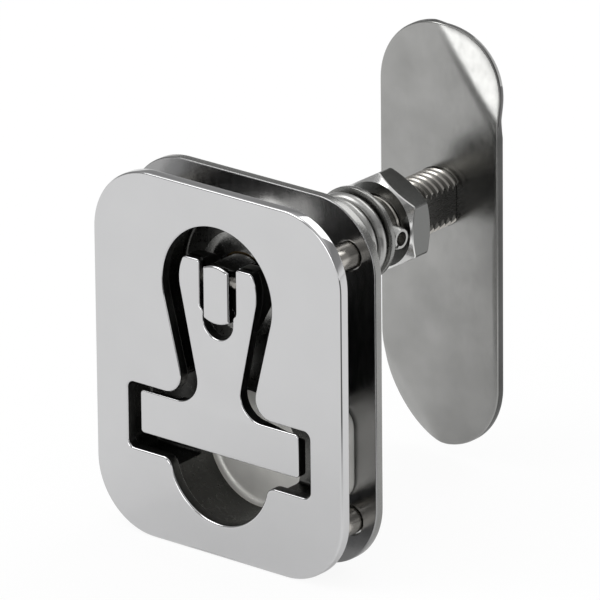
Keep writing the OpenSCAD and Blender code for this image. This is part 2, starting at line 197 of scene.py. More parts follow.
def steel(name, colour, rough, grain, stretch, bump, cloud, metal=1.0):
    """Bare stainless steel. Noise stretched along one axis gives the grain left by polishing, and it
    drives both the roughness and a faint bump; broad noise clouds the colour slightly."""
    material = bpy.data.materials.new(name)
    material.use_nodes = True
    tree = material.node_tree
    shader = tree.nodes["Principled BSDF"]
    shader.inputs["Metallic"].default_value = metal
    place = tree.nodes.new("ShaderNodeTexCoord")
    turn = tree.nodes.new("ShaderNodeMapping")
    turn.inputs["Scale"].default_value = stretch
    fine = tree.nodes.new("ShaderNodeTexNoise")
    fine.inputs["Scale"].default_value = grain
    fine.inputs["Detail"].default_value = 6.0
    fine.inputs["Roughness"].default_value = 0.6
    worn = tree.nodes.new("ShaderNodeMapRange")
    worn.inputs["From Min"].default_value = 0.3
    worn.inputs["From Max"].default_value = 0.7
    worn.inputs["To Min"].default_value = rough[0]
    worn.inputs["To Max"].default_value = rough[1]
    broad = tree.nodes.new("ShaderNodeTexNoise")
    broad.inputs["Scale"].default_value = 90.0
    broad.inputs["Detail"].default_value = 3.0
    tint = tree.nodes.new("ShaderNodeValToRGB")
    tint.color_ramp.elements[0].position = 0.3
    tint.color_ramp.elements[0].color = [c * (1 - cloud) for c in colour] + [1]
    tint.color_ramp.elements[1].position = 0.7
    tint.color_ramp.elements[1].color = [c * (1 + cloud) for c in colour] + [1]
    relief = tree.nodes.new("ShaderNodeBump")
    relief.inputs["Strength"].default_value = bump
    relief.inputs["Distance"].default_value = 0.0001
    join = tree.links.new
    join(place.outputs["Object"], turn.inputs["Vector"])
    join(turn.outputs["Vector"], fine.inputs["Vector"])
    join(place.outputs["Object"], broad.inputs["Vector"])
    join(fine.outputs["Fac"], worn.inputs["Value"])
    join(worn.outputs["Result"], shader.inputs["Roughness"])
    join(broad.outputs["Fac"], tint.inputs["Fac"])
    join(tint.outputs["Color"], shader.inputs["Base Color"])
    join(fine.outputs["Fac"], relief.inputs["Height"])
    join(relief.outputs["Normal"], shader.inputs["Normal"])
    return material


polished = steel("polished_steel", (0.57, 0.57, 0.575), rough=(0.03, 0.07), grain=900.0,
                 stretch=(1, 1, 0.3), bump=0.006, cloud=0.012)
# Walls of cuts: an unpolished cut finish, with a near-black colour that is painted shade on those walls.
raw_cut_and_shade = steel("raw_cut_and_shade", (0.09, 0.09, 0.088), rough=(0.30, 0.45), grain=2500.0,
                stretch=(1, 0.1, 1), bump=0.10, cloud=0.15)


def finish_walls(piece, finish, half_width, half_height):
    """Gives the walls of a cut their own finish: the faces within a box in X and Z whose normals lie
    nearly across Y."""
    count = len(piece.data.polygons)
    normal, middle = np.empty(3 * count), np.empty(3 * count)
    piece.data.polygons.foreach_get("normal", normal)
    piece.data.polygons.foreach_get("center", middle)
    normal, middle = normal.reshape(-1, 3), np.abs(middle.reshape(-1, 3))
    most_lean = 0.35
    within = (middle[:, 0] < half_width) & (middle[:, 2] < half_height)
    wall = within & (np.abs(normal[:, 1]) < most_lean)
    piece.data.materials.append(finish)
    piece.data.polygons.foreach_set("material_index", wall.astype(np.int32))


face = build("polished_face", *sheet(plate_outline, [keyhole], face_front, face_rear, face_edge),
             "housing", "polished_steel", "face_plate", polished)
finish_walls(face, raw_cut_and_shade, half_width=0.026, half_height=0.034)

# Recess pan: one drawn pressing of thinner stainless, welded behind the cut-out, with a round finger
# pocket that is drawn deeper, through the back plate. The floor of its pocket and the ends of its slot
# are satin, its inner walls and the floor round the bush take a near-black finish that is painted shade
# inside the recess, and the rest of its outside is bright.
pan_floor, pan_rear = -0.0030, -0.0020
pocket_floor, pocket_rear = 0.0010, 0.0020
pan_room, pocket_room, pan_wall = 0.0020, 0.0004, 0.0010
floor_round, rear_round, pocket_round = 0.0008, 0.0010, 0.0014
bush_radius, bush_points = 0.0085, 96
slot_ends, wall_rings = 0.0175, 2
satin_pan = steel("satin_pan", (0.80, 0.79, 0.755), rough=(0.36, 0.50), grain=1500.0,
                  stretch=(1, 1, 1), bump=0.025, cloud=0.14, metal=0.55)
pressed_outside = steel("pressed_outside", (0.60, 0.595, 0.58), rough=(0.12, 0.20), grain=1500.0,
                        stretch=(1, 1, 1), bump=0.01, cloud=0.05)
# Near-black finish for the pan's inner faces: painted shade inside the recess.
shaded_pan_wall = steel("shaded_pan_wall", (0.09, 0.09, 0.086), rough=(0.24, 0.38), grain=1500.0,
                   stretch=(1, 1, 1), bump=0.03, cloud=0.10)


def bush_hole(radius):
    """Circle about the spindle axis, in the sense of the other outlines."""
    return arc((0, spindle_height), radius, 90, -270, bush_points + 1)[:-1]


def pan_side(grow, pocket_grow, floor, turn_in, bottom, bottom_round, inside):
    """One side of the pressing. The keyhole's wall runs from the rim to the floor through a quarter
    circle; where the finger pocket opens, its full round runs on to the bottom in the same way. Also
    gives where the bush hole starts, the satin faces of the pocket and the points in one row."""
    turn = np.radians(np.linspace(0, 90, 7))
    step_in = np.r_[0, 1 - np.cos(turn)]
    rows = [keyhole(grow - turn_in * s, pocket_grow) for s in step_in]
    depth = np.r_[face_rear, floor - turn_in * (1 - np.sin(turn))]
    count = len(rows[0])
    faces = ring_faces(len(rows), count, 0, flip=inside)
    last, last_start = rows[-1], count * (len(rows) - 1)
    right, left = count // 2 + 1 - finger_points, count // 2 - 1 + finger_points
    radius = finger_radius + pocket_grow
    bearing = np.degrees(np.arctan2(*(last[right] - finger_middle)[::-1]))
    over = arc(finger_middle, radius, 180 - bearing, bearing, 42)[1:-1]
    pocket = np.vstack([last[right:left + 1], over])
    pocket_start, size = count * len(rows), len(pocket)
    pocket_depth = np.r_[floor, bottom - bottom_round * (1 - np.sin(turn))]
    pocket_rows = [finger_middle + (pocket - finger_middle) * (1 - bottom_round * s / radius)
                   for s in step_in]
    satin_from = len(faces) + wall_rings * size
    faces += ring_faces(len(pocket_rows), size, pocket_start, flip=inside)
    satin_to = len(faces)
    hole, hole_start = bush_hole(bush_radius), pocket_start + size * len(pocket_rows)
    around = np.r_[last_start + np.arange(left, count), last_start + np.arange(right + 1)]
    across = pocket_start + size - 1 - np.arange(len(over))
    edge = np.vstack([last[left:], last[:right + 1], over[::-1]])
    way = -1 if inside else 1
    rim = np.r_[around, across]
    faces += cap_faces([edge, hole], [rim, hole_start + np.arange(bush_points)], way)
    faces += cap_faces([pocket_rows[-1]], [hole_start - size + np.arange(size)], way)
    loops = rows + pocket_rows + [hole]
    levels = np.r_[depth, pocket_depth, floor]
    points = np.vstack([np.c_[loop[:, 0], np.full(len(loop), y), loop[:, 1]]
                        for loop, y in zip(loops, levels)])
    bottom_from = len(faces) - size + 2
    satin_faces = np.r_[np.arange(satin_from, satin_to), np.arange(bottom_from, len(faces))]
    return points, faces, hole_start, satin_faces, count


outer_points, outer_faces, outer_hole, _, rim_count = pan_side(
    pan_room + pan_wall, pocket_room + pan_wall, pan_rear, rear_round,
    pocket_rear, pocket_round + pan_wall, inside=False)
inner_points, inner_faces, inner_hole, satin_faces, _ = pan_side(
    pan_room, pocket_room, pan_floor, floor_round, pocket_floor, pocket_round, inside=True)
shift = len(outer_points)
rim = np.arange(rim_count)
rim_next = np.roll(rim, -1)
bore = np.arange(bush_points)
bore_next = np.roll(bore, -1)
pan_faces = outer_faces + [[shift + i for i in face] for face in inner_faces]
pan_faces += np.stack([rim, shift + rim, shift + rim_next, rim_next], axis=-1).tolist()
pan_faces += np.stack([outer_hole + bore, outer_hole + bore_next, shift + inner_hole + bore_next,
                       shift + inner_hole + bore], axis=-1).tolist()
pan = build("drawn_pan", np.vstack([outer_points, inner_points]), pan_faces, [True] * len(pan_faces),
            "housing", "satin_steel", "recess_pan", satin_pan)
satin, dark, outside = 0, 1, 2
finish = np.full(len(pan_faces), outside, dtype=np.int32)
# Painted shade: the inner faces of the pressing take the near-black finish, except the satin ones.
finish[len(outer_faces):len(outer_faces) + len(inner_faces)] = dark
finish[len(outer_faces) + satin_faces] = satin
middle = np.empty(3 * len(pan_faces))
pan.data.polygons.foreach_get("center", middle)
finish[(np.abs(middle[0::3]) > slot_ends) & (finish == outside)] = satin
pan.data.materials.append(shaded_pan_wall)
pan.data.materials.append(pressed_outside)
pan.data.polygons.foreach_set("material_index", finish)


def weld(piece, sharp):
    """Merges points that meet, and marks as sharp each edge that turns by more than the angle."""
    joined = bmesh.new()
    joined.from_mesh(piece.data)
    bmesh.ops.remove_doubles(joined, verts=joined.verts, dist=1e-6)
    joined.to_mesh(piece.data)
    joined.free()
    piece.data.set_sharp_from_angle(angle=np.radians(sharp))


weld(pan, sharp=40)

# T-handle: cut from sheet and polished like the face plate, with a forked head, a tapered stem and a
# crossbar. Two ears behind the fork are cams, and the crossbar's upper back edge is bevelled.
handle_front, handle_rear, handle_edge = -0.0122, -0.0098, 0.00035
pin_y, pin_height = -0.00985, 0.0190
bar_top, bevel_depth, bevel_from = -0.0076, 0.0018, 0.0104
ear_near, ear_far, ear_under, ear_edge, ear_taper = 0.0045, 0.0082, 0.0012, 0.0002, 0.98
cam_high, cam_drop = 0.0056, 0.0020


def handle_outline(grow):
    """Outline of the handle, grown outwards. It runs up the fork slot from its round end, over the
    ear, round the head, down the stem and round the crossbar."""
    head, head_radius = (0, 0.0180), 0.0096 + grow
    ear_top, bar_high, bar_low = 0.0226 + grow, bar_top + grow, -0.0165 - grow
    slot, slot_end, slot_bottom = ear_near - grow, 0.0037 - grow, 0.0110
    widening = np.c_[[slot_end, slot_end + 0.0002, slot - 0.0002, slot], [0.0122, 0.0127, 0.0130, 0.0136]]
    bar_end, bar_corner = 0.0196 + grow, 0.0008 + grow
    ear_corner, neck_round = 0.0012 + grow, 0.0050 - grow
    neck = np.array([0.00415 + grow, bar_high])
    leave = touch_angle(head, head_radius, neck)
    inner_radius = head_radius - ear_corner
    turn_height = ear_top - ear_corner
    turn_x = np.sqrt(inner_radius ** 2 - (turn_height - head[1]) ** 2)
    outward = np.degrees(np.arctan2(turn_height - head[1], turn_x))
    x = bar_end - bar_corner
    return both_sides(np.vstack([
        arc((0, slot_bottom), slot_end, -90, 0, 14),
        widening,
        arc((slot + ear_corner / 2, ear_top - ear_corner / 2), ear_corner / 2, 180, 90, 6),
        arc((turn_x, turn_height), ear_corner, 90, outward, 7),
        arc(head, head_radius, outward, leave, 26)[1:],
        rounded_corner(neck, leave + 90, neck_round, 18),
        arc((x, bar_high - bar_corner), bar_corner, 90, 0, 8),
        arc((x, bar_low + bar_corner), bar_corner, 0, -90, 8),
        [[0, bar_low]],
    ]))


def ear_profile():
    """Side view of a cam ear about the pin, in Y and Z. Its back is an involute: at lift angle a it
    stands h = 5.6 mm - 2 mm a / 90 from the pin, at (h cos a + k sin a, h sin a - k cos a)."""
    angle = np.radians(np.linspace(0, 90, 24))
    rate = cam_drop / (np.pi / 2)
    h = cam_high - rate * angle
    cam = np.c_[h * np.cos(angle) + rate * np.sin(angle), h * np.sin(angle) - rate * np.cos(angle)]
    heel = -rate - cam_drop
    toe = heel - cam_high
    inside = handle_rear - ear_under - pin_y
    rest = [[inside, cam_high - cam_drop], [inside, toe], [handle_rear - pin_y, toe], [cam_high, heel]]
    return np.vstack([cam, rest]) + [pin_y, pin_height]


points, faces, smooth = sheet(handle_outline, [], handle_front, handle_rear, handle_edge)
land = handle_rear - bevel_depth
bevel = bar_top - np.maximum(points[:, 1] - land, 0)
cut = (np.abs(points[:, 0]) > bevel_from) & (points[:, 2] > bevel)
points[cut, 2] = bevel[cut]
ear = ear_profile()
count = len(ear)
middle = np.array([pin_y, pin_height])
for near, far in ((ear_near, ear_far), (-ear_far, -ear_near)):
    start = len(points)
    across = [near, near + ear_edge, far - ear_edge, far]
    shrink = [ear_taper, 1.0, 1.0, ear_taper]
    rings = [np.c_[np.full(count, x), middle + (ear - middle) * s] for x, s in zip(across, shrink)]
    points = np.vstack([points] + rings)
    walls = ring_faces(len(across), count, start)
    ends = [list(range(start, start + count))[::-1], list(range(len(points) - count, len(points)))]
    faces += walls + ends
    smooth += [True] * len(walls) + [False] * 2
handle = build("polished_handle", points, faces, smooth,
               "handle", "polished_steel", "t_handle", polished)
weld(handle, sharp=35)
finish_walls(handle, raw_cut_and_shade, half_width=0.03, half_height=0.03)

# Cross pin, wear washer, guide bush and seal: plain turned pieces that stay mostly out of sight. They
# keep their solids and take the finish of bar steel, hard sheet, bearing bronze and black rubber.
turned_steel = steel("turned_steel", (0.52, 0.50, 0.465), rough=(0.14, 0.26), grain=2200.0,
                     stretch=(1, 0.15, 1), bump=0.06, cloud=0.06)
satin_steel = steel("satin_steel", (0.27, 0.27, 0.262), rough=(0.20, 0.30), grain=1800.0,
                    stretch=(1, 1, 1), bump=0.015, cloud=0.06)
bush_bronze = steel("bush_bronze", (0.30, 0.21, 0.10), rough=(0.30, 0.45), grain=1200.0,
                    stretch=(1, 1, 1), bump=0.05, cloud=0.08)
seal_rubber = steel("seal_rubber", (0.02, 0.02, 0.02), rough=(0.55, 0.70), grain=2500.0,
                    stretch=(1, 1, 1), bump=0.10, cloud=0.10, metal=0.0)
for node, finish in (("cross_pin", turned_steel), ("wear_washer", satin_steel),
                     ("guide_bush", bush_bronze), ("spindle_seal", seal_rubber)):
    nodes[node].data.materials.clear()
    nodes[node].data.materials.append(finish)

# Back plate: the same blank as the face plate in thinner sheet, with a duller polish, a hole for the
# bush, a hole round the finger pocket and four clearance holes for the studs. Its colour is darker than
# the face plate's, painted shade for the gap between the plates.
back_front, back_rear, back_edge = -0.0020, 0.0, 0.0003
stud_x, stud_z, stud_hole, pocket_hole = 0.024, 0.027, 0.0030, 0.0140
stud_places = [(-stud_x, stud_z), (stud_x, stud_z), (stud_x, -stud_z), (-stud_x, -stud_z)]


def round_hole(centre, radius):
    """Circle about a centre as an outline that can be grown."""
    return lambda grow: arc(centre, radius + grow, 90, -270, 49)[:-1]


back_holes = [round_hole(place, stud_hole) for place in stud_places]
back_holes.append(lambda grow: bush_hole(bush_radius + grow))
back_holes.append(round_hole(finger_middle, pocket_hole))
# Duller polish, and a darker colour that is painted shade for the gap between the plates.
dull_polish_and_shade = steel("dull_polish_and_shade", (0.32, 0.32, 0.32), rough=(0.17, 0.25), grain=900.0,
                    stretch=(1, 1, 0.3), bump=0.008, cloud=0.02)
back = build("polished_back", *sheet(plate_outline, back_holes, back_front, back_rear, back_edge),
             "housing", "polished_steel", "back_plate", dull_polish_and_shade)
finish_walls(back, satin_steel, half_width=0.04, half_height=0.04)

# Studs: four turned pins on the back of the face plate. A plain shank crosses the panel gap, and the
# M5 thread stands behind the back plate for a nut.
shank_radius, stud_radius, stud_tip = 0.0028, 0.0025, 0.0040
stud_pitch, stud_start, stud_bevel, shank_end = 0.0008, 0.0002, 0.0005, -0.00001
stud_points, stud_rows = 48, 42


def thread_depth(y, turn, pitch):
    """Depth of a rolled thread below its crest: 0 on the crest, 0.46 pitch in the wide root, and even
    between them. Along Y the profile repeats each pitch, and it moves one pitch for each full turn."""
    crest, flank = 0.125, 0.625
    away = np.abs((y / pitch - turn / (2 * np.pi)) % 1.0 - 0.5) * 2
    return 0.46 * pitch * np.clip((away - crest) / flank, 0, 1)


def turned_surface(y, radius, turn, centre):
    """Surface of radius[i, j] at y[i, j] and angle turn[j] about a line along Y. The angle is measured
    from +Z towards +X, so that a thread that advances with it is right-handed."""
    x = centre[0] + radius * np.sin(turn)
    z = centre[1] + radius * np.cos(turn)
    return np.stack([x, np.broadcast_to(y, x.shape), z], axis=-1).reshape(-1, 3)


turn = np.linspace(0, 2 * np.pi, stud_points, endpoint=False)
rows = np.r_[face_rear, shank_end, np.linspace(0.0, stud_tip, stud_rows)][:, None]
groove = np.where(rows < stud_start, 0, thread_depth(rows, turn, stud_pitch))
bevel = np.clip(rows - stud_tip + stud_bevel, 0, stud_bevel)
radius = np.where(rows < 0, shank_radius, stud_radius - np.maximum(groove, bevel))
last = stud_points * (len(rows) - 1)
faces = ring_faces(len(rows), stud_points)
faces += [list(range(stud_points))[::-1], list(range(last, last + stud_points))]
for number, place in enumerate(stud_places, 1):
    surface = turned_surface(rows, radius, turn, place)
    stud = build(f"threaded_stud_{number}", surface, faces, [True] * len(faces),
                 "housing", "turned_steel", f"stud_{number}", turned_steel)
    stud.data.set_sharp_from_angle(angle=np.radians(40))

# Spindle: M12 stainless bar. The front is milled to a flat tongue for the fork, the middle is plain
# inside the spring, and the back is threaded and then milled with two flats for the arm.
spindle_radius, tongue_half, flat_half = 0.0060, 0.0031, 0.0045
spindle_front, shoulder, thread_start = -0.0129, -0.0040, 0.0352
flat_start, spindle_end = 0.0391, 0.0665
tongue_round, pitch, run_in, end_bevel = 0.0006, 0.00175, 0.0012, 0.0008
columns, rows_in_pitch, root_depth = 221, 16, 0.00035
round_turn = np.radians(np.linspace(0, 90, 7))
tongue_rows = spindle_front + tongue_round * (1 - np.cos(round_turn))
plain_rows = np.r_[tongue_rows, shoulder, shoulder, thread_start - 0.0001]
# The rows of the thread climb one pitch in a turn, so they follow its crest and root, and they meet
# themselves a pitch further on where the turn closes.
turn = np.linspace(0, 2 * np.pi, columns)
first_row = rows_in_pitch * (np.floor(thread_start / pitch) - 1)
last_row = rows_in_pitch * np.ceil(spindle_end / pitch)
thread_rows = pitch / rows_in_pitch * np.arange(first_row, last_row + 1)
thread_y = np.clip(thread_rows[:, None] + pitch * turn / (2 * np.pi), thread_start, spindle_end)
y = np.vstack([np.tile(plain_rows[:, None], columns), thread_y])
pulled_in = np.zeros((len(y), 1))
pulled_in[:len(round_turn), 0] = tongue_round * (1 - np.sin(round_turn))
tongue = len(round_turn) + 1
half_width = np.where(y >= flat_start, flat_half, 1.0)
half_width[:tongue] = tongue_half - pulled_in[:tongue]
cut_in = np.clip((y - thread_start) / run_in, 0, 1)
radius = spindle_radius - pulled_in - cut_in * thread_depth(y, turn, pitch)
radius = np.minimum(radius, spindle_radius - np.clip(y - spindle_end + end_bevel, 0, 1))
radius = np.minimum(radius, half_width / np.maximum(np.abs(np.sin(turn)), 1e-6))
quads = np.reshape(ring_faces(len(y), columns), (-1, columns, 4))
faces = quads[:, :-1].reshape(-1, 4).tolist()
faces.append(list(range(columns - 1))[::-1])
faces.append(list(range(columns * (len(y) - 1), columns * len(y) - 1)))
spindle = build("threaded_spindle", turned_surface(y, radius, turn, (0, spindle_height)), faces,
                [True] * len(faces), "spindle", "turned_steel", "spindle", turned_steel)
weld(spindle, sharp=28)
# Faces deep in the thread take a near-black finish: painted shade in the thread's roots.
root_shade = steel("root_shade", (0.13, 0.127, 0.118), rough=(0.28, 0.40), grain=1800.0,
                    stretch=(1, 0.2, 1), bump=0.02, cloud=0.06)
milled_flat = steel("milled_flat", (0.12, 0.118, 0.113), rough=(0.22, 0.34), grain=1800.0,
                    stretch=(1, 0.2, 1), bump=0.04, cloud=0.08)
count = len(spindle.data.polygons)
normal, middle = np.empty(3 * count), np.empty(3 * count)
spindle.data.polygons.foreach_get("normal", normal)
spindle.data.polygons.foreach_get("center", middle)
milled = (np.abs(normal[0::3]) > 0.99) & (middle[1::3] > flat_start)
depth = spindle_radius - np.hypot(middle[0::3], middle[2::3] - spindle_height)
threaded = (middle[1::3] > thread_start) & (np.abs(normal[1::3]) < 0.95)
# Painted shade: faces below the root depth on the threaded part.
root = (depth > root_depth) & threaded & ~milled
spindle.data.materials.append(milled_flat)
spindle.data.materials.append(polished)
spindle.data.materials.append(root_shade)
spindle.data.polygons.foreach_set("material_index", milled + 2 * (middle[1::3] < shoulder) + 3 * root)

# Spring washers: two punched stainless rings with edges rounded by tumbling, one on the back plate
# and one held against the roll pin.
ring_points, corner_points = 96, 5


def ring(front, rear, inner, outer, edge):
    """Flat ring about the spindle axis. Its section is a rectangle with four rounded corners, carried
    once round the axis."""
    corners = [((outer - edge, front + edge), -90, 0), ((outer - edge, rear - edge), 0, 90),
               ((inner + edge, rear - edge), 90, 180), ((inner + edge, front + edge), 180, 270)]
    section = np.vstack([arc(c, edge, a, b, corner_points) for c, a, b in corners])
    count = len(section)
    turn = np.linspace(0, 2 * np.pi, ring_points, endpoint=False)[:, None]
    x = section[:, 0] * np.sin(turn)
    z = spindle_height + section[:, 0] * np.cos(turn)
    y = np.broadcast_to(section[:, 1], x.shape)
    around, along = count * np.arange(ring_points)[:, None], np.arange(count)
    after, along_next = np.roll(around, -1), np.roll(along, -1)
    quads = np.stack([around + along, after + along, after + along_next, around + along_next], axis=-1)
    return np.stack([x, y, z], axis=-1).reshape(-1, 3), quads.reshape(-1, 4).tolist(), [True] * x.size


build("spring_seat", *ring(front=0.0, rear=0.0010, inner=0.0066, outer=0.0095, edge=0.0002),
      "housing", "satin_steel", "seat_washer", satin_steel)
build("spring_stop", *ring(front=0.0293, rear=0.0305, inner=0.0061, outer=0.0095, edge=0.00025),
      "thrust", "satin_steel", "end_washer", satin_steel)

# Compression spring: bright drawn wire wound nearly closed, with its two ends closed and ground flat.
# It runs from the back plate to the end washer.
wire, coil_radius, turns, wire_points = 0.0012, 0.0078, 10.4, 18
spring_front, spring_rear, steps = 0.0010, 0.0293, 760
bright_wire = steel("bright_wire", (0.42, 0.42, 0.41), rough=(0.26, 0.34), grain=1600.0,
                    stretch=(1, 1, 1), bump=0.006, cloud=0.05)
along = np.linspace(0, turns, steps)[:, None]
closed, ground = 2 * wire, 0.7 * wire
open_pitch = (spring_rear - spring_front - 3 * closed) / (turns - 2)
centre_y = spring_front + ground + np.interp(
    along, [0, 1, turns - 1, turns],
    [0, closed, closed + open_pitch * (turns - 2), spring_rear - spring_front - 2 * ground])
side = np.linspace(0, 2 * np.pi, wire_points, endpoint=False)
reach = coil_radius + wire * np.cos(side)
spring_points = np.stack([
    reach * np.sin(2 * np.pi * along),
    np.clip(centre_y + wire * np.sin(side), spring_front, spring_rear),
    spindle_height + reach * np.cos(2 * np.pi * along)], axis=-1).reshape(-1, 3)
last = wire_points * (steps - 1)
faces = ring_faces(steps, wire_points, flip=True)
faces += [list(range(wire_points)), list(range(last, last + wire_points))[::-1]]
spring = build("wound_spring", spring_points, faces, [True] * (len(faces) - 2) + [False] * 2,
               None, "spring_steel", "compression_spring", bright_wire)
spring.data.set_sharp_from_angle(angle=np.radians(50))
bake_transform(spring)

# Roll pin: spring steel strip rolled to a slotted tube and driven through the spindle. Its ends are
# bevelled, and its slot points down and forward.
pin_place, pin_outer, pin_inner, pin_half = (0.03285, spindle_height), 0.00225, 0.00145, 0.0090
pin_bevel, pin_lead, pin_rows = 0.0003, 0.0006, 64
gap_way, gap_half = 225, 10
turn = np.radians(np.linspace(gap_way + gap_half, gap_way + 360 - gap_half, pin_rows))
section = np.array([[-pin_half, pin_outer - pin_bevel], [pin_lead - pin_half, pin_outer],
                    [pin_half - pin_lead, pin_outer], [pin_half, pin_outer - pin_bevel],
                    [pin_half, pin_inner], [-pin_half, pin_inner]])
count = len(section)
x = np.broadcast_to(section[:, 0], (pin_rows, count))
y = pin_place[0] + section[:, 1] * np.cos(turn)[:, None]
z = pin_place[1] + section[:, 1] * np.sin(turn)[:, None]
last = count * (pin_rows - 1)
faces = ring_faces(pin_rows, count, flip=True)
faces += [list(range(count)), list(range(last, last + count))[::-1]]
roll = build("slotted_pin", np.stack([x, y, z], axis=-1).reshape(-1, 3), faces, [True] * len(faces),
             "spindle", "spring_steel", "roll_pin", bright_wire)
roll.data.set_sharp_from_angle(angle=np.radians(35))

# Thin nuts: two M12 half nuts, 18 mm across flats, turned with a 30 degree chamfer on both faces. The
# chamfer bands take a near-white finish, partly their bright turned finish and partly a painted highlight
# for the curved bright line at the top of each flat; the flats, lands and bore take a dark finish, partly
# the drawn hex and partly painted shade on the turned lands.
nut_half, nut_thick = 0.0090, 0.0060
nut_land, nut_corner, nut_bore = 0.00864, 0.01028, 0.0059
lead_in, lead_step, soft_edge, nut_points = 0.0006, 0.0005, 0.00025, 240
chamfer_highlight_bands = [2, 3, 5, 6]
drawn_and_shaded_flat = steel("drawn_and_shaded_flat", (0.17, 0.172, 0.168), rough=(0.16, 0.24), grain=1800.0,
                   stretch=(1, 1, 1), bump=0.006, cloud=0.03)
turned_and_highlight = steel("turned_and_highlight", (0.78, 0.78, 0.77), rough=(0.10, 0.18), grain=2400.0,
                      stretch=(1, 0.2, 1), bump=0.01, cloud=0.02)


def half_nut(front):
    """Hexagon nut as rows about its axis: bore, front land, the curve where the chamfer cone meets the
    flats, the same curve behind, rear land and bore. On a flat at angle a from its middle the radius is
    half / cos a, with the corners rounded off."""
    turn = np.linspace(0, 2 * np.pi, nut_points, endpoint=False)
    away = (turn - np.pi / 2 + np.pi / 6) % (np.pi / 3) - np.pi / 6
    flat = np.minimum(nut_half / np.cos(away), nut_corner)
    drop = (flat - nut_land) * np.tan(np.radians(30))
    rear = front + nut_thick
    mouth, shy = nut_bore + lead_step, flat - soft_edge / 2
    heights = [front + lead_in, front, front, front + drop, front + drop + soft_edge,
               rear - drop - soft_edge, rear - drop, rear, rear, rear - lead_in]
    radii = [nut_bore, mouth, nut_land, shy, flat, flat, shy, nut_land, mouth, nut_bore]
    y = np.stack([np.broadcast_to(height, turn.shape) for height in heights])
    radius = np.stack([np.broadcast_to(size, turn.shape) for size in radii])
    here = np.arange(nut_points)
    after = np.roll(here, -1)
    last = nut_points * (len(radii) - 1)
    faces = ring_faces(len(radii), nut_points)
    faces += np.stack([last + here, last + after, after, here], axis=-1).tolist()
    return turned_surface(y, radius, turn, (0, spindle_height)), faces, [True] * len(faces)


for name, front, node in (("front_half_nut", 0.0361, "front_nut"),
                          ("rear_half_nut", 0.0578, "rear_nut")):
    nut = build(name, *half_nut(front), "spindle", "satin_steel", node, drawn_and_shaded_flat)
    nut.data.set_sharp_from_angle(angle=np.radians(14))
    band = np.arange(len(nut.data.polygons)) // nut_points
    nut.data.materials.append(turned_and_highlight)
    # Chamfer bands near white as painted highlight; the rest dark, with painted shade on the lands.
    nut.data.polygons.foreach_set("material_index", np.isin(band, chamfer_highlight_bands).astype(np.int32))

# Latch arm: satin stainless strip with round ends and a flat-sided hole that fits over the spindle.
# The two corners that lead as it swings home are bent back over a soft radius.
arm_front, arm_thick, arm_half = 0.0558, 0.0020, 0.0146
arm_top, arm_low = 0.0379, -0.0209
hole_radius, hole_half, past_hole, arm_edge = 0.0061, 0.0046, 0.0064, 0.0004
bend_angle, bend_way = np.radians(22), np.radians(38)
bend_at, bend_radius = 0.0074, 0.0065
satin_arm = steel("satin_arm", (0.33, 0.33, 0.322), rough=(0.21, 0.27), grain=1100.0,
                  stretch=(1, 1, 0.5), bump=0.008, cloud=0.11)


def bend_back(points, end_height, way):
    """Bends what lies beyond the fold line. Past the line the sheet follows a circle behind it of the
    bend radius through the bend angle, and then runs on straight."""
    across = np.array([np.cos(way), np.sin(way)])
    beyond = (points[:, [0, 2]] - [0, end_height]) @ across - bend_at
    depth = points[:, 1] - arm_front
    swept = np.clip(beyond / bend_radius, 0, bend_angle)
    straight = np.maximum(beyond - bend_radius * bend_angle, 0)
    from_middle = bend_radius - depth
    out = from_middle * np.sin(swept) + straight * np.cos(swept)
    back = bend_radius - from_middle * np.cos(swept) + straight * np.sin(swept)
    change = np.where(beyond > 0, out - beyond, 0)
    bent = points.copy()
    bent[:, [0, 2]] += change[:, None] * across
    bent[:, 1] = np.where(beyond > 0, arm_front + back, points[:, 1])
    return bent


# Loops run from the spindle hole, or from the middle line above and below it, out to the rim, round
# the rounded edge and back in behind.
side_z = np.r_[np.linspace(arm_top, spindle_height + past_hole, 24)[:-1],
               spindle_height + hole_radius * np.cos(np.linspace(0, np.pi, 61)),
               np.linspace(spindle_height - past_hole, arm_low, 40)[1:]]
top = arc((0, arm_top), arm_half, 90, 0, 40)[:-1]
low = arc((0, arm_low), arm_half, 0, -90, 40)[1:]
outer = both_sides(np.vstack([top, np.c_[np.full(len(side_z), arm_half), side_z], low]))
drop = np.sqrt(np.maximum(hole_radius ** 2 - (side_z - spindle_height) ** 2, 0))
inner = both_sides(np.vstack([np.tile([0, arm_top], (len(top), 1)),
                              np.c_[np.minimum(drop, hole_half), side_z],
                              np.tile([0, arm_low], (len(low), 1))]))
way_out = outer - np.clip(outer, [0, arm_low], [0, arm_top])
way_out /= np.hypot(*way_out.T)[:, None]
quarter = np.radians(np.linspace(0, 90, 5))
grow = arm_edge * np.r_[np.sin(quarter) - 1, np.cos(quarter) - 1]
depth = np.r_[arm_edge * (1 - np.cos(quarter)), arm_thick - arm_edge * (1 - np.sin(quarter))]
share = np.linspace(0, 1, 14)[:, None, None]
flat = inner + share * (outer - arm_edge * way_out - inner)
edge_rows = outer + grow[1:-1, None, None] * way_out
loop_rows = np.concatenate([flat, edge_rows, flat[::-1]])
loop_depth = np.r_[np.zeros(len(flat)), depth[1:-1], np.full(len(flat), arm_thick)]
count = len(outer)
loop_y = np.broadcast_to(arm_front + loop_depth[:, None], loop_rows.shape[:2])
points = np.stack([loop_rows[..., 0], loop_y, loop_rows[..., 1]], axis=-1).reshape(-1, 3)
points = bend_back(bend_back(points, arm_top, bend_way), arm_low, bend_way + np.pi)
faces = ring_faces(len(loop_rows), count)
last = count * (len(loop_rows) - 1)
open_half = np.abs(inner[:, 0])
here = np.flatnonzero(np.maximum(open_half, np.roll(open_half, -1)) > 1e-6)
after = (here + 1) % count
faces += np.stack([last + here, last + after, after, here], axis=-1).tolist()
arm = build("satin_arm", points, faces, [True] * len(faces),
            "arm", "satin_steel", "latch_arm", satin_arm)
weld(arm, sharp=40)
finish_walls(arm, raw_cut_and_shade, half_width=0.02, half_height=0.06)

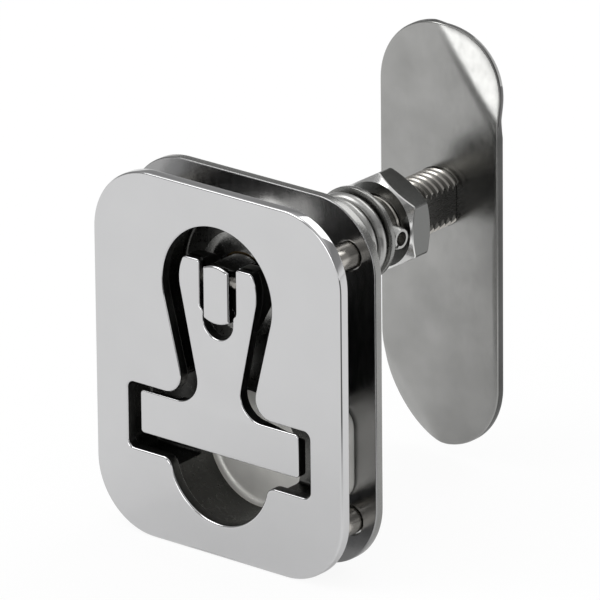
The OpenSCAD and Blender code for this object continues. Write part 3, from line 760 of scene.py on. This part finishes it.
# Studio: a white floor under the latch, a white room, and three soft lamps. The floor shows the
# background white to the camera and in reflections, and keeps a faint shadow. Its far right is dim in
# reflections alone, as from a dark card, and draws a dark line along the polished edges.
floor_height, floor_half = -0.0376, 6.0
floor_mesh = bpy.data.meshes.new("studio_floor")
floor_sides = ((-1, -1), (1, -1), (1, 1), (-1, 1))
floor_mesh.from_pydata([(x * floor_half, y * floor_half, floor_height) for x, y in floor_sides],
                       [], [(0, 1, 2, 3)])
floor = bpy.data.objects.new("studio_floor", floor_mesh)
bpy.context.scene.collection.objects.link(floor)
floor_white = bpy.data.materials.new("floor_white")
floor_white.use_nodes = True
tree = floor_white.node_tree
tree.nodes.clear()
paint = tree.nodes.new("ShaderNodeBsdfDiffuse")
paint.inputs["Color"].default_value = (0.85, 0.85, 0.85, 1)
place = tree.nodes.new("ShaderNodeTexCoord")
flatten = tree.nodes.new("ShaderNodeMapping")
flatten.inputs["Scale"].default_value = (1, 1, 0)
bearing = tree.nodes.new("ShaderNodeVectorMath")
bearing.operation = "NORMALIZE"
in_front = tree.nodes.new("ShaderNodeVectorMath")
in_front.operation = "DOT_PRODUCT"
in_front.inputs[1].default_value = (0.970, -0.242, 0)
dim = tree.nodes.new("ShaderNodeValToRGB")
dim.color_ramp.elements[0].position = 0.79
dim.color_ramp.elements[0].color = (1, 1, 1, 1)
dim.color_ramp.elements[1].position = 0.92
dim.color_ramp.elements[1].color = (0.14, 0.14, 0.14, 1)
far = tree.nodes.new("ShaderNodeVectorMath")
far.operation = "LENGTH"
beyond = tree.nodes.new("ShaderNodeMapRange")
beyond.inputs["From Min"].default_value = 0.12
beyond.inputs["From Max"].default_value = 0.06
unseen = tree.nodes.new("ShaderNodeMath")
unseen.operation = "MAXIMUM"
white = tree.nodes.new("ShaderNodeMix")
white.data_type = "RGBA"
white.inputs["B"].default_value = (1, 1, 1, 1)
glow = tree.nodes.new("ShaderNodeEmission")
glow.inputs["Strength"].default_value = 1.0
path = tree.nodes.new("ShaderNodeLightPath")
either = tree.nodes.new("ShaderNodeMath")
either.operation = "MAXIMUM"
any_of = tree.nodes.new("ShaderNodeMath")
any_of.operation = "MAXIMUM"
to_camera = tree.nodes.new("ShaderNodeMath")
to_camera.operation = "MULTIPLY"
to_camera.inputs[1].default_value = 0.92
to_metal = tree.nodes.new("ShaderNodeMath")
to_metal.operation = "MULTIPLY"
card = tree.nodes.new("ShaderNodeMapRange")
card.inputs["From Min"].default_value = 0.14
card.inputs["To Min"].default_value = 1.0
card.inputs["To Max"].default_value = 0.35
mixed = tree.nodes.new("ShaderNodeMixShader")
out = tree.nodes.new("ShaderNodeOutputMaterial")
join = tree.links.new
join(place.outputs["Object"], flatten.inputs["Vector"])
join(flatten.outputs["Vector"], bearing.inputs[0])
join(bearing.outputs["Vector"], in_front.inputs[0])
join(in_front.outputs["Value"], dim.inputs["Fac"])
join(dim.outputs["Color"], white.inputs["A"])
join(flatten.outputs["Vector"], far.inputs[0])
join(far.outputs["Value"], beyond.inputs["Value"])
join(path.outputs["Is Camera Ray"], unseen.inputs[0])
join(beyond.outputs["Result"], unseen.inputs[1])
join(unseen.outputs[0], white.inputs["Factor"])
join(white.outputs["Result"], glow.inputs["Color"])
join(white.outputs["Result"], card.inputs["Value"])
join(card.outputs["Result"], to_metal.inputs[1])
join(path.outputs["Is Glossy Ray"], either.inputs[0])
join(path.outputs["Is Transmission Ray"], either.inputs[1])
join(either.outputs[0], to_metal.inputs[0])
join(path.outputs["Is Camera Ray"], to_camera.inputs[0])
join(to_camera.outputs[0], any_of.inputs[0])
join(to_metal.outputs[0], any_of.inputs[1])
join(any_of.outputs[0], mixed.inputs[0])
join(paint.outputs[0], mixed.inputs[1])
join(glow.outputs[0], mixed.inputs[2])
join(mixed.outputs[0], out.inputs[0])
floor_mesh.materials.append(floor_white)
floor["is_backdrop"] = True

world = bpy.data.worlds.new("white_room")
bpy.context.scene.world = world
world.use_nodes = True
tree = world.node_tree
tree.nodes.clear()
place = tree.nodes.new("ShaderNodeTexCoord")
split = tree.nodes.new("ShaderNodeSeparateXYZ")
shade = tree.nodes.new("ShaderNodeValToRGB")
shade.color_ramp.elements[0].position = 0.06
shade.color_ramp.elements[0].color = (1, 1, 1, 1)
shade.color_ramp.elements[1].position = 0.85
shade.color_ramp.elements[1].color = (0.80, 0.80, 0.80, 1)
for height, grey in ((0.20, 0.35), (0.50, 0.30)):
    shade.color_ramp.elements.new(height).color = (grey, grey, grey, 1)
seen = tree.nodes.new("ShaderNodeBackground")
light = tree.nodes.new("ShaderNodeBackground")
light.inputs["Color"].default_value = (0.80, 0.80, 0.80, 1)
path = tree.nodes.new("ShaderNodeLightPath")
either = tree.nodes.new("ShaderNodeMath")
either.operation = "MAXIMUM"
any_of = tree.nodes.new("ShaderNodeMath")
any_of.operation = "MAXIMUM"
mixed = tree.nodes.new("ShaderNodeMixShader")
out = tree.nodes.new("ShaderNodeOutputWorld")
join = tree.links.new
join(place.outputs["Generated"], split.inputs[0])
join(split.outputs["Z"], shade.inputs["Fac"])
join(shade.outputs["Color"], seen.inputs["Color"])
join(path.outputs["Is Camera Ray"], either.inputs[0])
join(path.outputs["Is Glossy Ray"], either.inputs[1])
join(either.outputs[0], any_of.inputs[0])
join(path.outputs["Is Transmission Ray"], any_of.inputs[1])
join(any_of.outputs[0], mixed.inputs[0])
join(light.outputs[0], mixed.inputs[1])
join(seen.outputs[0], mixed.inputs[2])
join(mixed.outputs[0], out.inputs[0])

for name, spot, power, width in (("key_softbox", (-0.5, -0.6, 1.0), 5.0, 0.7),
                                 ("rear_softbox", (0.05, 0.85, 0.85), 4.0, 0.8),
                                 ("front_softbox", (-0.05, -1.3, 0.12), 2.6, 0.55)):
    lamp = bpy.data.lights.new(name, "AREA")
    lamp.energy = power
    lamp.size = width
    box = bpy.data.objects.new(name, lamp)
    box.location = spot
    box.rotation_euler = (Vector((0, 0.02, 0)) - Vector(spot)).to_track_quat("-Z", "Y").to_euler()
    bpy.context.scene.collection.objects.link(box)

# Camera: far to the right and above, as the photograph's perspective asks, with a slight roll.
azimuth, elevation, roll = np.radians([39.87, 21.47, -0.75])
distance, aim_right, aim_up = 1.864, 0.01584, 0.01449
towards = np.array([np.sin(azimuth) * np.cos(elevation), -np.cos(azimuth) * np.cos(elevation),
                    np.sin(elevation)])
level = np.array([np.cos(azimuth), np.sin(azimuth), 0])
upward = np.cross(towards, level)
right = np.cos(roll) * level + np.sin(roll) * upward
upward = -np.sin(roll) * level + np.cos(roll) * upward
plate_middle = np.array([0, face_front, 0])
stand = plate_middle + distance * towards
aim = plate_middle + aim_right * right + aim_up * upward
back = (stand - aim) / np.linalg.norm(stand - aim)
right = right - (right @ back) * back
right /= np.linalg.norm(right)
lens = bpy.data.cameras.new("photo_camera")
lens.lens = 585.2
lens.sensor_width = 36.0
lens.clip_start = 0.1
lens.clip_end = 20.0
camera = bpy.data.objects.new("photo_camera", lens)
axes = np.column_stack([right, np.cross(back, right), back, stand])
camera.matrix_world = Matrix(axes.tolist() + [[0, 0, 0, 1]])
bpy.context.scene.collection.objects.link(camera)
bpy.context.scene.camera = camera
bpy.context.scene.view_settings.view_transform = "Standard"

low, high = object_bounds()
